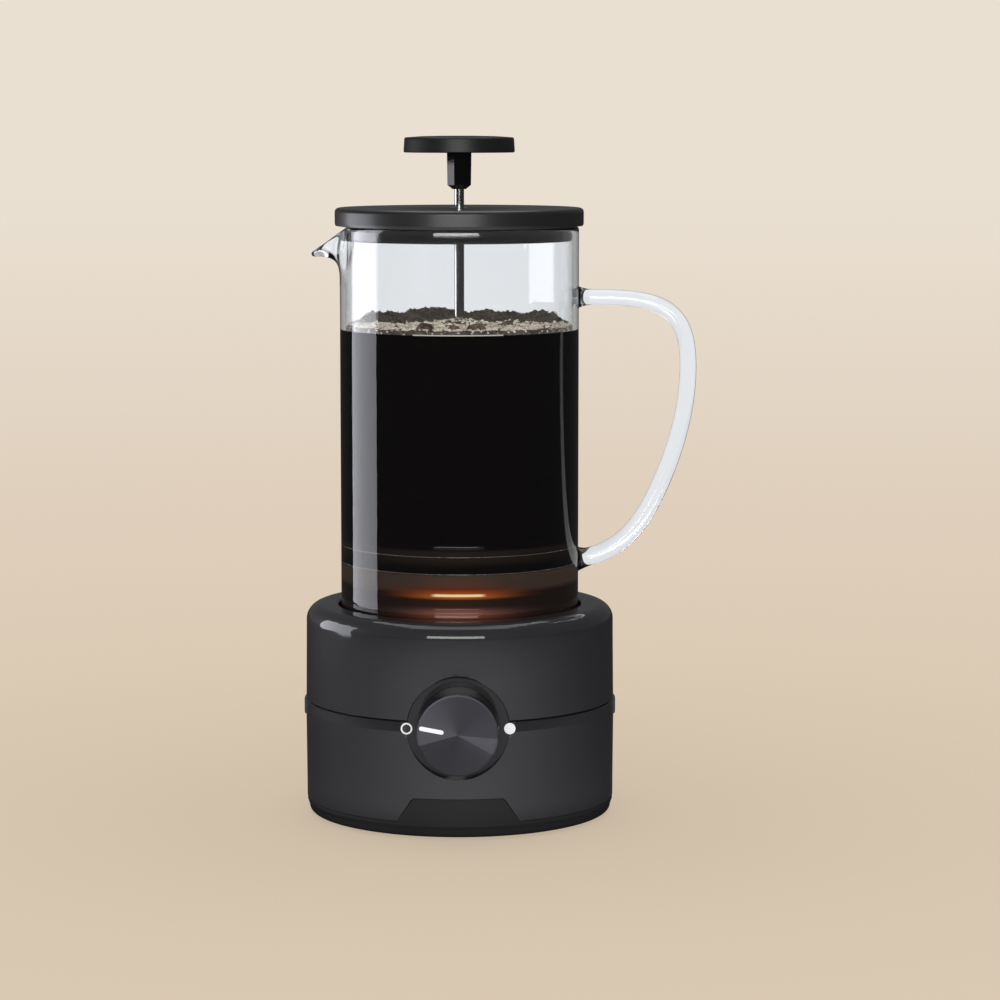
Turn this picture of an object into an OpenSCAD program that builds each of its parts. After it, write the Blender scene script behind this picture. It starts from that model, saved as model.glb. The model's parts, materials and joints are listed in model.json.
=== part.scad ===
// Cold brew coffee maker: a glass plunger carafe on a motor base with a timer dial.
// Millimetres. The origin is on the carafe's axis, at the level of the feet.
// +Z is up, -Y is the front with the dial, +X is the side of the handle.

/* [Base] */
// Radius of the base at its seam
base_r = 65; // [64:0.5:68]
// Height of the base's top face above the table
base_top_z = 89.1; // [88:0.1:92]
// Height of the seam between the two housings
seam_z = 49; // [48.5:0.1:49.5]
// Wall thickness of the housings
wall_t = 2.4; // [2:0.1:2.6]
// Radius of the rounded shoulder of the base
shoulder_r = 6.5; // [4:0.5:7]
// How far the feet stand out below the base
foot_proud = 1.2; // [1:0.1:1.5]
// Height of the dark skirt's upper edge
skirt_top_z = 7.3; // [7:0.1:8]

/* [Dial] */
// Radius of the dial
dial_r = 16.6; // [16:0.1:17]
// Height of the dial's axis
dial_z = 46.3; // [46:0.1:47]
// Radius of the round recess behind the dial
recess_r = 21; // [20.5:0.1:21.5]
// How far the dial's face lies in front of the base's axis
dial_face_y = 78.2; // [77:0.1:79]

/* [Carafe] */
// Outer radius of the glass
glass_r = 50; // [49.8:0.1:50.2]
// Wall thickness of the glass
glass_t = 2.2; // [2:0.1:2.4]
// Height of the glass rim
rim_z = 247.4; // [246:0.1:248]
// Height of the underside of the glass
glass_bottom_z = 77.5; // [77.5:0.1:77.8]
// Height of the fill line
fill_line_z = 205; // [180:1:210]
// Radius of the handle's rod at its upper end
handle_r = 3.3; // [3:0.1:3.6]

/* [Lid] */
// Radius of the lid
lid_r = 52; // [51.8:0.1:52.5]
// Height of the lid's top face
lid_top_z = 255.3; // [255:0.1:256]
// Height of the lower edge of the ring that hangs inside the glass
lid_skirt_z = 241.7; // [240:0.1:243]

/* [Plunger] */
// Radius of the round push knob
knob_r = 23.2; // [20:0.1:26]
// Height of the knob's underside
knob_bottom_z = 278.2; // [276:0.1:282]
// Thickness of the knob at its crown
knob_t = 6.9; // [6:0.1:8]
// Radius of the plunger rod
rod_r = 2; // [1.8:0.1:2.1]
// Height of the filter's fine screen
screen_z = 107; // [106:0.1:110]

/* [Hidden] */
$fn = 96;
eps = 0.01;

// Colours as the photograph shows them
housing_grey = [0.19, 0.19, 0.20];
skirt_grey = [0.12, 0.12, 0.13];
lid_black = [0.13, 0.13, 0.13];
steel = [0.72, 0.72, 0.72];
clear_glass = [0.86, 0.90, 0.92, 0.4];
print_white = [0.95, 0.95, 0.95];

// Base
shell_r = base_r - wall_t;
well_r = 51.2;
well_floor_z = 76;
well_floor_t = 2.4;
well_wall_t = 2.2;
top_t = 2.8;
seam_gap = 0.8;
lower_top_z = seam_z - seam_gap / 2;
upper_bottom_z = seam_z + seam_gap / 2;
tongue_t = 1.6;
tongue_r = shell_r - 0.5;
tongue_top_z = lower_top_z + 4;
side_tab_z = 42.1;
pan_t = 2.4;
pan_top_z = foot_proud + pan_t;
skirt_r = base_r - 0.35;
tab_top_z = 17.2;
tab_top_w = 38.4;
tab_bottom_w = 50;
tab_gap = 0.25;
boss_r = 3.1;
boss_ring_r = 58.1;
boss_angles = [45, 135, 225, 315];
skirt_boss_ring_r = 57;
skirt_boss_angles = [20, 160, 200, 340];
boss_split_z = tongue_top_z + 0.8;
foot_r = 6;
foot_ring_r = 48;
foot_recess_d = 1;

// Dial and timer, measured along -Y from the base's axis
recess_floor_y = 60.9;
bezel_t = 2.6;
bezel_back_y = recess_floor_y - bezel_t;
timer_shaft_r = 3;
timer_nose_r = 4.5;
running_gap = 0.05;
pointer_angle = 10.9;
mark_x = 21;
mark_z = dial_z - 0.35;
mark_t = 0.15;
ear_r = 3.4;

// Drive
motor_r = 17;
motor_bottom_z = 38;
motor_top_z = 63.6;
motor_plate_t = 1.6;
plate_boss_ring_r = 33;
plate_angles = [90, 210, 330];
drive_shaft_r = 1.5;
holder_z = 67;
holder_t = 4.4;
holder_r = 24;
magnet_r = 5;
magnet_t = 3;
magnet_ring_r = 17;

// Carafe and stirrer
glass_floor_t = 3;
glass_inner_r = glass_r - glass_t;
floor_top_z = glass_bottom_z + glass_floor_t;
stirrer_z = floor_top_z + 0.4;
stirrer_r = 18;

// Plunger and filter
stem_top_w = 10.2;
stem_bottom_w = 9.8;
stem_bottom_z = 264.7;
stem_tip_z = 263;
stem_tip_w = 5.5;
spring_tube_r = 1.4;
cuff_r = glass_inner_r - 0.3;
cuff_t = 0.4;
cuff_h = 7.4;
spring_ring_r = cuff_r - cuff_t - 0.1 - spring_tube_r;

// Timer and circuit board
timer_depth = 22;
timer_back_y = bezel_back_y - timer_depth;
board_z = 9;
board_t = 1.6;
board_post_ring_r = 38;
board_angles = [52, 128, 232, 308];

// Cord outlet
cord_z = 20;
cord_bore_r = 3.3;
gland_r = 5.2;
gland_flange_r = 7.4;
gland_out = 2.4;

// Leads inside the base
lead_r = 0.9;
lead_curves = [
    [[14, -20, 18], [14, -20, 26], [10, -12, 28], [10, -11, 35.5]],
    [[11, -19, 18], [11, -19, 24], [-8, -12, 26], [-9, -11, 35.5]],
    [[1, -23, 19], [1, -23, 28], [8, -24, 38.3], [8, -30.8, 38.3]],
    [[-15, -16, 22.1], [-15, -16, 30], [-8, -22, 38.3], [-8, -30.8, 38.3]]
];

// Glass rim and handle
rim_round = 1;
handle_curves = [
    [[glass_r - 0.9, 0, 218], [82, 0, 218.3], [95.9, 0, 216.5], [95.9, 0, 189]],
    [[95.9, 0, 189], [95.9, 0, 172], [91.5, 0, 155.7], [84.8, 0, 140.1]],
    [[84.8, 0, 140.1], [76.2, 0, 119.9], [66, 0, 109.3], [glass_r - 0.9, 0, 107.6]]
];
handle_grow = 0.6;
root_flare = 1.6;
root_length = 5;
handle_steps = 12;

// Lid
lid_bottom_z = rim_z + 0.5;
lid_t = 2;
bush_r = 3.6;
skirt_ring_r = 47.2;

// Points of an arc from angle a0 to angle a1
function arc(x, z, r, a0, a1, n = 8) =
    [for (i = [0:n]) let (a = a0 + (a1 - a0) * i / n) [x + r * cos(a), z + r * sin(a)]];

// Point and direction of a cubic curve
function cubic(p, t) = (1 - t)^3 * p[0] + 3 * (1 - t)^2 * t * p[1] + 3 * (1 - t) * t^2 * p[2] + t^3 * p[3];
function unit(v) = v / norm(v);

// Axes of a tube's ring at point i: one along the fixed side vector, one square to both
function path_dir(pts, i) = unit(pts[min(i + 1, len(pts) - 1)] - pts[max(i - 1, 0)]);
function ring_points(c, dir, side, r, sides) =
    let (u = unit(cross(dir, side)), v = cross(u, dir))
    [for (k = [0:sides - 1]) let (a = 360 * (k + 0.5) / sides) c + r * (cos(a) * u + sin(a) * v)];

// A tube along points, with one radius per point
module swept_tube(pts, radii, sides, side = [0, 1, 0]) {
    n = len(pts);
    rings = [for (i = [0:n - 1]) each ring_points(pts[i], path_dir(pts, i), side, radii[i], sides)];
    skins = [
        for (i = [0:n - 2]) for (k = [0:sides - 1]) let (k2 = (k + 1) % sides)
            each [[i * sides + k, i * sides + k2, (i + 1) * sides + k2],
                  [i * sides + k, (i + 1) * sides + k2, (i + 1) * sides + k]]
    ];
    first = [[for (k = [sides - 1:-1:0]) k]];
    last = [[for (k = [0:sides - 1]) (n - 1) * sides + k]];
    polyhedron(rings, concat(skins, first, last));
}

// A cylinder that runs along -Y, from y_back to y_front in front of the axis
module front_cylinder(r, y_back, y_front, z = dial_z, x = 0) {
    translate([x, -y_back, z])
        rotate([90, 0, 0])
            cylinder(r = r, h = y_front - y_back);
}

module tube(r_out, r_in, z0, z1) {
    difference() {
        translate([0, 0, z0]) cylinder(r = r_out, h = z1 - z0);
        translate([0, 0, z0 - 1]) cylinder(r = r_in, h = z1 - z0 + 2);
    }
}

module disc(r, z0, z1) {
    translate([0, 0, z0]) cylinder(r = r, h = z1 - z0);
}

// Places children on a ring
module on_ring(r, angles) {
    for (a = angles) rotate([0, 0, a]) translate([r, 0, 0]) children();
}

// ---------- base ----------

module upper_housing_profile() {
    polygon(concat(
        [[base_r, upper_bottom_z]],
        arc(base_r - 0.3 - shoulder_r, base_top_z - shoulder_r, shoulder_r, 0, 90, 24),
        arc(well_r + 1, base_top_z - 1, 1, 90, 180, 6),
        arc(well_r - 1, well_floor_z + 1, 1, 0, -90, 4),
        [[0, well_floor_z], [0, well_floor_z - well_floor_t]],
        [[well_r + well_wall_t, well_floor_z - well_floor_t]],
        [[well_r + well_wall_t, base_top_z - top_t], [shell_r - 3, base_top_z - top_t]],
        [[shell_r - 0.2, base_top_z - top_t - 3], [shell_r, upper_bottom_z]]
    ));
}

module upper_housing() {
    color(housing_grey)
    difference() {
        union() {
            rotate_extrude() upper_housing_profile();
            on_ring(boss_ring_r, boss_angles) disc(boss_r, boss_split_z, base_top_z - top_t + 0.2);
            on_ring(plate_boss_ring_r, plate_angles)
                disc(3.4, motor_top_z + motor_plate_t, well_floor_z - well_floor_t + 0.2);
        }
        // arch round the dial
        front_cylinder(recess_r, shell_r - 6, base_r + 2);
        // arch's outer edge is broken
        translate([0, -base_r + 1.2, dial_z])
            rotate([90, 0, 0])
                cylinder(r1 = recess_r - 0.2, r2 = recess_r + 1.8, h = 2);
        on_ring(boss_ring_r, boss_angles) disc(1.2, boss_split_z - 1, boss_split_z + 12);
        on_ring(plate_boss_ring_r, plate_angles) disc(1.2, motor_top_z - 1, motor_top_z + 7);
    }
}

module lower_housing_profile() {
    polygon([
        [base_r - 0.2, skirt_top_z + 0.2],
        [base_r + 0.1, lower_top_z - 4],
        [base_r - 0.15, lower_top_z - 0.3],
        [base_r - 0.45, lower_top_z],
        [tongue_r, lower_top_z],
        [tongue_r, tongue_top_z],
        [tongue_r - tongue_t, tongue_top_z],
        [tongue_r - tongue_t, lower_top_z - 2],
        [shell_r, lower_top_z - 4],
        [shell_r - 0.3, skirt_top_z + 0.2]
    ]);
}

module side_tab_profile() {
    polygon(concat(
        [[base_r - 1.2, side_tab_z], [base_r - 0.6, side_tab_z]],
        arc(base_r + 0.15, side_tab_z + 1, 0.7, -60, 0, 3),
        arc(base_r + 0.15, lower_top_z - 0.4, 0.7, 0, 60, 3),
        [[base_r - 0.9, lower_top_z + 0.7], [base_r - 1.2, lower_top_z + 0.7]]
    ));
}

module dial_bezel() {
    // disc that stands in the arch, and its hidden flange behind the wall
    front_cylinder(recess_r - 0.3, bezel_back_y, recess_floor_y);
    intersection() {
        front_cylinder(recess_r + 1.6, bezel_back_y, recess_floor_y);
        disc(shell_r - 0.5, 0, base_top_z);
    }
    // round pocket in the lower housing's wall
    intersection() {
        front_cylinder(recess_r + 2.2, bezel_back_y, base_r + 1);
        disc(base_r - 0.1, 20, lower_top_z);
    }
}

// Wedge with the tab's outline, grown by g on each side
module tab_outline(g, y0, y1) {
    translate([0, -y0, 0])
        rotate([90, 0, 0])
            linear_extrude(y1 - y0)
                polygon([
                    [-tab_bottom_w / 2 - g, skirt_top_z - 1],
                    [tab_bottom_w / 2 + g, skirt_top_z - 1],
                    [tab_bottom_w / 2 - 0.6 + g, skirt_top_z + 1],
                    [tab_top_w / 2 + g, tab_top_z - 1 + g],
                    [tab_top_w / 2 - 1.4 + g, tab_top_z + g],
                    [-tab_top_w / 2 + 1.4 - g, tab_top_z + g],
                    [-tab_top_w / 2 - g, tab_top_z - 1 + g],
                    [-tab_bottom_w / 2 + 0.6 - g, skirt_top_z + 1]
                ]);
}

module lower_housing() {
    color(housing_grey)
    difference() {
        union() {
            rotate_extrude() lower_housing_profile();
            dial_bezel();
            for (a = [-6, 174]) rotate([0, 0, a]) rotate_extrude(angle = 12) side_tab_profile();
            on_ring(boss_ring_r, boss_angles) disc(boss_r, pan_top_z + 0.2, tongue_top_z - 1);
            on_ring(skirt_boss_ring_r, skirt_boss_angles) {
                disc(boss_r, pan_top_z + 0.2, 19.4);
                translate([2, -0.8, pan_top_z + 7]) cube([4.2, 1.6, 8.4]);
            }
        }
        // pocket down to the flat floor of the recess, with an ear round each mark
        front_cylinder(recess_r, recess_floor_y, base_r + 2);
        for (x = [-mark_x, mark_x]) front_cylinder(ear_r, recess_floor_y, base_r + 2, mark_z, x);
        front_cylinder(timer_nose_r + 0.2, bezel_back_y - 1, recess_floor_y + 1);
        tab_outline(tab_gap, base_r - 6, base_r + 2);
        // housing screws pass up through these bosses, with their heads in deep counterbores
        on_ring(boss_ring_r, boss_angles) {
            disc(1.7, pan_top_z, tongue_top_z + 1);
            disc(2.1, pan_top_z, 40);
        }
        on_ring(skirt_boss_ring_r, skirt_boss_angles) disc(1.2, pan_top_z, 16);
        // hole for the cord's bushing
        translate([0, base_r - 6, cord_z]) rotate([-90, 0, 0]) cylinder(r = gland_r, h = 8);
    }
}

module base_skirt_profile() {
    polygon(concat(
        [[0, foot_proud], [base_r - 3.4, foot_proud]],
        arc(base_r - 3.2, foot_proud + 2, 2, -80, -10, 5),
        [[base_r - 0.9, foot_proud + 3.2], [skirt_r, skirt_top_z - 1.4], [skirt_r, skirt_top_z]],
        [[shell_r - 0.8, skirt_top_z], [shell_r - 0.8, skirt_top_z + 2.4]],
        [[shell_r - 1.8, skirt_top_z + 2.4], [shell_r - 1.8, pan_top_z], [0, pan_top_z]]
    ));
}

module base_skirt() {
    color(skirt_grey)
    difference() {
        union() {
            rotate_extrude() base_skirt_profile();
            // blank tab at the front
            intersection() {
                tube(skirt_r, shell_r - 0.8, skirt_top_z - 0.8, tab_top_z + 1);
                tab_outline(0, base_r - 6, base_r + 2);
            }
            on_ring(board_post_ring_r, board_angles) disc(2.6, pan_top_z - 0.2, board_z);
        }
        on_ring(foot_ring_r, boss_angles) disc(foot_r + 0.1, foot_proud - 1, foot_proud + foot_recess_d);
        on_ring(boss_ring_r, boss_angles) disc(2.5, foot_proud - 1, pan_top_z + 6.2);
        on_ring(skirt_boss_ring_r, skirt_boss_angles) {
            disc(1.6, foot_proud - 1, pan_top_z + 1);
            disc(2.9, foot_proud - 1, foot_proud + 1.4);
            disc(boss_r + 0.2, pan_top_z, pan_top_z + 8);
        }
        on_ring(boss_ring_r, boss_angles) disc(boss_r + 0.2, pan_top_z, pan_top_z + 8);
        on_ring(board_post_ring_r, board_angles) disc(0.9, pan_top_z + 0.6, board_z + 1);
    }
}

module base_feet() {
    color([0.07, 0.07, 0.07])
    on_ring(foot_ring_r, boss_angles) {
        disc(foot_r - 0.4, 0, 0.4);
        disc(foot_r, 0.4 - eps, foot_proud + foot_recess_d);
    }
}

module carafe_pad() {
    color([0.09, 0.09, 0.09])
    difference() {
        tube(46, 34, well_floor_z, glass_bottom_z - 0.1);
        // drain gaps through the pad
        for (a = [0, 60, 120]) rotate([0, 0, a])
            translate([-50, -1.5, well_floor_z + 0.6]) cube([100, 3, 2]);
    }
}

module housing_screws() {
    color(steel)
    on_ring(boss_ring_r, boss_angles) {
        disc(1.15, 40 - eps, 58);
        disc(2, 38.4, 40);
    }
}

module skirt_screws() {
    color(steel)
    on_ring(skirt_boss_ring_r, skirt_boss_angles) {
        difference() {
            union() {
                disc(1.15, foot_proud + 1.4 - eps, 14);
                disc(2.7, foot_proud + 0.2, foot_proud + 1.4);
            }
            translate([-1.8, -0.35, foot_proud - 0.4]) cube([3.6, 0.7, 1.2]);
            translate([-0.35, -1.8, foot_proud - 0.4]) cube([0.7, 3.6, 1.2]);
        }
    }
}

module off_mark() {
    color(print_white)
    difference() {
        front_cylinder(2.35, recess_floor_y, recess_floor_y + mark_t, mark_z, -mark_x);
        front_cylinder(1.75, recess_floor_y - 1, recess_floor_y + 1, mark_z, -mark_x);
    }
}

module on_mark() {
    color(print_white)
    front_cylinder(2.3, recess_floor_y, recess_floor_y + mark_t, mark_z, mark_x);
}

// ---------- motor ----------

module motor_can() {
    color([0.6, 0.6, 0.62])
    difference() {
        union() {
            disc(motor_r, motor_bottom_z, motor_top_z);
            disc(5, motor_top_z - eps, motor_top_z + 1.4);
        }
        disc(motor_r - 1.2, motor_bottom_z - 1, motor_top_z - 1.6);
        disc(3.5, motor_top_z - 2, motor_top_z + 2);
        on_ring(11, [0, 180]) disc(1.2, motor_top_z - 2, motor_top_z + 1);
    }
}

module motor_end_cap() {
    color([0.85, 0.84, 0.8])
    difference() {
        union() {
            disc(motor_r, motor_bottom_z - 2, motor_bottom_z);
            disc(motor_r - 1.3, motor_bottom_z - eps, motor_bottom_z + 2);
            disc(5.5, motor_bottom_z - 3.6, motor_bottom_z - 2 + eps);
        }
        disc(motor_r - 3, motor_bottom_z, motor_bottom_z + 3);
        disc(3.5, motor_bottom_z - 2.4, motor_bottom_z + 1);
    }
}

module motor_bearings() {
    color([0.72, 0.58, 0.30])
    for (z = [motor_bottom_z - 2.4, motor_top_z - 1.6])
        tube(3.5, drive_shaft_r + running_gap, z, z + 2.4);
}

module motor_rotor() {
    color([0.55, 0.35, 0.2])
    difference() {
        union() {
            disc(12, 44, 59);
            disc(8, 41.4, 44 + eps);
            disc(9, 59 - eps, 61);
        }
        disc(drive_shaft_r, 40, 63);
        // slots between the poles
        on_ring(12, [0:60:300]) translate([-3, -0.7, 43]) cube([6, 1.4, 17]);
    }
}

module motor_shaft() {
    color(steel)
    disc(drive_shaft_r, motor_bottom_z - 2.2, holder_z + 3);
}

module motor_plate() {
    color([0.7, 0.7, 0.7])
    difference() {
        disc(38, motor_top_z, motor_top_z + motor_plate_t);
        disc(5.1, motor_top_z - 1, motor_top_z + 3);
        on_ring(11, [0, 180]) disc(1.3, motor_top_z - 1, motor_top_z + 3);
        on_ring(plate_boss_ring_r, plate_angles) disc(1.6, motor_top_z - 1, motor_top_z + 3);
        on_ring(24, [30, 150, 270]) disc(5, motor_top_z - 1, motor_top_z + 3);
    }
}

module motor_screws() {
    color(steel) {
        on_ring(plate_boss_ring_r, plate_angles) {
            disc(1.15, motor_top_z - eps, motor_top_z + 6);
            disc(2.6, motor_top_z - 1.6, motor_top_z);
        }
        on_ring(11, [0, 180]) {
            disc(1.1, motor_top_z - 3, motor_top_z + motor_plate_t + eps);
            disc(2, motor_top_z + motor_plate_t, motor_top_z + motor_plate_t + 1.1);
        }
    }
}

module magnet_holder() {
    color([0.9, 0.9, 0.88])
    difference() {
        union() {
            disc(holder_r, holder_z + 0.6, holder_z + holder_t);
            disc(5, holder_z, holder_z + 0.6 + eps);
        }
        disc(drive_shaft_r, holder_z - 1, holder_z + 3);
        on_ring(magnet_ring_r, [0, 180])
            disc(magnet_r, holder_z + holder_t - magnet_t, holder_z + holder_t + 1);
        on_ring(magnet_ring_r, [90, 270]) disc(magnet_r, holder_z, holder_z + holder_t + 1);
    }
}

module drive_magnets() {
    color([0.75, 0.75, 0.78])
    on_ring(magnet_ring_r, [0, 180]) disc(magnet_r, holder_z + holder_t - magnet_t, holder_z + holder_t);
}

// ---------- timer, board and cord entry ----------

module timer_body() {
    color([0.88, 0.87, 0.82])
    difference() {
        union() {
            translate([-16, -bezel_back_y, dial_z - 14]) cube([32, timer_depth, 28]);
            front_cylinder(timer_nose_r, bezel_back_y - eps, recess_floor_y + 3.2);
            for (x = [-8, 0, 8]) translate([x - 0.4, -timer_back_y - 1, dial_z - 10]) cube([0.8, 6, 4]);
        }
        front_cylinder(timer_shaft_r + running_gap, bezel_back_y - 9, recess_floor_y + 5);
    }
}

module timer_nut() {
    color(steel)
    difference() {
        translate([0, -recess_floor_y, dial_z])
            rotate([90, 0, 0])
                cylinder(r = 7.2, h = 2.2, $fn = 6);
        front_cylinder(timer_nose_r, recess_floor_y - 1, recess_floor_y + 4);
    }
}

module circuit_board() {
    color([0.12, 0.35, 0.18])
    difference() {
        translate([-27, -34, board_z]) cube([54, 68, board_t]);
        on_ring(board_post_ring_r, board_angles) disc(1.3, board_z - 1, board_z + 3);
    }
}

module board_parts() {
    board_top = board_z + board_t;
    color([0.15, 0.15, 0.3]) {
        translate([-12, 14, board_top]) cylinder(r = 6, h = 16);
        translate([4, 10, board_top]) cube([18, 14, 13]);
        translate([-22, -22, board_top]) cube([14, 12, 11]);
        translate([8, -24, board_top]) cube([12, 8, 7]);
        translate([-4, -26, board_top]) cube([8, 6, 8]);
        for (x = [-6, 0, 6]) translate([x, -4, board_top]) cylinder(r = 2, h = 9);
    }
}

module board_screws() {
    color(steel)
    on_ring(board_post_ring_r, board_angles) {
        disc(0.85, board_z - 4, board_z + board_t + eps);
        disc(2, board_z + board_t, board_z + board_t + 1.2);
    }
}

module cord_gland() {
    color([0.08, 0.08, 0.08])
    translate([0, shell_r - 0.6, cord_z])
        rotate([-90, 0, 0])
            difference() {
                union() {
                    cylinder(r = gland_r, h = wall_t + 1.2);
                    translate([0, 0, wall_t + 1])
                        cylinder(r1 = gland_flange_r, r2 = gland_flange_r - 0.8, h = gland_out);
                    // clip ring behind the wall
                    translate([0, 0, -2.2]) cylinder(r = gland_flange_r - 0.4, h = 2.2 + eps);
                }
                translate([0, 0, -4]) cylinder(r = cord_bore_r, h = 16);
            }
}

// Leads inside the base: hand-set curves from the board to the motor and the timer

module wire_leads() {
    color([0.6, 0.1, 0.1])
    for (c = lead_curves) {
        pts = [for (i = [0:8]) cubic(c, i / 8)];
        swept_tube(pts, [for (p = pts) lead_r], 8, [1, 0.1, 0]);
    }
}

// ---------- dial ----------

module timer_dial() {
    color([0.2, 0.2, 0.21])
    translate([0, 0, dial_z])
        rotate([90, 0, 0])
            rotate_extrude()
                polygon([
                    [timer_shaft_r, recess_floor_y + 4.4],
                    [6, recess_floor_y + 4.4],
                    [6, dial_face_y - 4],
                    [dial_r - 2, dial_face_y - 4],
                    [dial_r - 1.6, recess_floor_y + 0.7],
                    [dial_r + 0.3, recess_floor_y + 0.7],
                    [dial_r, dial_face_y - 1.1],
                    [dial_r - 0.3, dial_face_y - 0.8],
                    [timer_shaft_r, dial_face_y - 0.8]
                ]);
}

module dial_face() {
    color([0.27, 0.27, 0.28])
    translate([0, 0, dial_z])
        rotate([90, 0, 0])
            rotate_extrude()
                polygon([
                    [0, dial_face_y - 0.8],
                    [dial_r - 0.12, dial_face_y - 0.8],
                    [dial_r - 0.12, dial_face_y - 0.25],
                    [dial_r - 0.27, dial_face_y - 0.1],
                    [0, dial_face_y - 0.1]
                ]);
}

module dial_pointer() {
    color(print_white)
    translate([0, -dial_face_y + 0.1, dial_z])
        rotate([90, 0, 0])
            rotate([0, 0, 180 - pointer_angle])
                linear_extrude(0.25) {
                    translate([6.6, -0.85]) square([8.3, 1.7]);
                    translate([6.6, 0]) circle(r = 0.85);
                    translate([14.9, 0]) circle(r = 0.85);
                }
}

module timer_shaft() {
    color(steel)
    front_cylinder(timer_shaft_r, bezel_back_y - 8, dial_face_y - 0.8);
}

// ---------- carafe ----------

module glass_profile() {
    polygon(concat(
        [[0, glass_bottom_z + 0.8], [30, glass_bottom_z + 0.6], [36, glass_bottom_z]],
        arc(glass_r - 6, glass_bottom_z + 6, 6, -90, 0, 8),
        arc(glass_r - rim_round, rim_z - rim_round, rim_round, 0, 90, 4),
        arc(glass_inner_r + rim_round, rim_z - rim_round, rim_round, 90, 180, 4),
        arc(glass_inner_r - 4, floor_top_z + 4, 4, 0, -90, 6),
        [[0, floor_top_z]]
    ));
}

// Solid beak between the wall and the tip, drawn in by g on each side
module spout_form(g, top) {
    hull() {
        translate([-glass_r - 0.4, -15 + g, 237 + g]) cube([3, 30 - 2 * g, top - 237]);
        translate([-glass_r - 0.4, -4 + g, 224 + 2 * g]) cube([3, 8 - 2 * g, 2]);
        translate([-57.2, 0, 234.4 + g]) cylinder(r = 5 - g, h = top - 234.4, $fn = 32);
    }
}

// Everything above the lip, which falls from the rim to the tip
module above_lip() {
    translate([0, 30, 0])
        rotate([90, 0, 0])
            linear_extrude(60)
                polygon([
                    [-46, 260], [-46, rim_z], [-50, rim_z - 0.6],
                    [-63, 236.9], [-70, 236.9], [-70, 260]
                ]);
}

module carafe_glass() {
    color(clear_glass)
    difference() {
        union() {
            rotate_extrude() glass_profile();
            difference() {
                spout_form(0, 250);
                translate([-46, -20, 200]) cube([20, 40, 60]);
                disc(glass_inner_r + 0.3, 200, 260);
            }
        }
        intersection() {
            spout_form(2.1, 260);
            translate([-70, -13, 226]) cube([24.6, 26, 60]);
        }
        intersection() {
            above_lip();
            translate([-70, -15, 230]) cube([24.6, 30, 40]);
        }
    }
}

// The handle's centre line: upper bend, long side and lower bend
handle_points = [
    for (c = handle_curves) for (i = [0:handle_steps - 1]) cubic(c, i / handle_steps),
    handle_curves[2][3]
];
function root_swell(p) = root_flare * max(0, 1 - (p[0] - glass_r) / root_length)^2;
handle_radii = [
    for (i = [0:len(handle_points) - 1])
        handle_r + handle_grow * i / len(handle_points) + min(root_flare, root_swell(handle_points[i]))
];

module glass_handle() {
    color(clear_glass)
    difference() {
        swept_tube(handle_points, handle_radii, 12);
        disc(glass_r - 0.6, 90, 230);
    }
}

module fill_line() {
    color(print_white)
    rotate([0, 0, 270 - 21.5])
        rotate_extrude(angle = 43)
            translate([glass_r, fill_line_z - 0.25]) square([0.12, 0.5]);
}

// ---------- stirrer ----------

module stirrer() {
    color([0.92, 0.92, 0.9])
    difference() {
        union() {
            disc(stirrer_r, stirrer_z, stirrer_z + 4);
            disc(5, stirrer_z + 4 - eps, stirrer_z + 8);
            // four upright vanes
            for (a = [0, 90]) rotate([0, 0, a])
                translate([-stirrer_r + 2, -0.8, stirrer_z + 4 - eps]) cube([2 * stirrer_r - 4, 1.6, 4]);
        }
        on_ring(11.5, [45, 225]) disc(4, stirrer_z + 0.8, stirrer_z + 3.2);
    }
}

module stirrer_magnets() {
    color([0.75, 0.75, 0.78])
    on_ring(11.5, [45, 225]) disc(4, stirrer_z + 0.8, stirrer_z + 3.2);
}

// ---------- lid ----------

module lid_cap() {
    color(lid_black)
    rotate_extrude()
        polygon(concat(
            [[bush_r, lid_top_z - lid_t]],
            [[lid_r - 2.4, lid_top_z - lid_t], [lid_r - 1.8, lid_bottom_z], [lid_r - 0.3, lid_bottom_z]],
            [[lid_r, lid_bottom_z + 1]],
            arc(lid_r - 1.8, lid_top_z - 1.8, 1.8, 0, 90, 14),
            [[bush_r, lid_top_z]]
        ));
}

module lid_skirt() {
    color(lid_black)
    rotate_extrude()
        polygon([
            [skirt_ring_r - 2, lid_skirt_z],
            [skirt_ring_r - 0.5, lid_skirt_z],
            [skirt_ring_r, lid_skirt_z + 0.6],
            [skirt_ring_r, lid_bottom_z - 2.1],
            [skirt_ring_r - 0.08, lid_bottom_z - 1],
            [skirt_ring_r - 0.5, lid_bottom_z - 0.5],
            [skirt_ring_r - 0.5, lid_bottom_z + 0.5],
            [lid_r - 2.2, lid_bottom_z + 0.5],
            [lid_r - 2.5, lid_top_z - lid_t],
            [skirt_ring_r - 2, lid_top_z - lid_t]
        ]);
}

module lid_seal() {
    color([0.16, 0.16, 0.16])
    tube(glass_r - 0.3, glass_inner_r + 0.1, rim_z + 0.2, lid_bottom_z + 0.5);
}

module rod_bush() {
    color([0.5, 0.5, 0.5])
    difference() {
        union() {
            disc(bush_r, lid_top_z - lid_t - eps, lid_top_z);
            disc(bush_r + 1.6, lid_top_z - lid_t - 2.4, lid_top_z - lid_t);
        }
        disc(rod_r + running_gap, lid_top_z - 6, lid_top_z + 1);
    }
}

// ---------- plunger ----------

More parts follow.
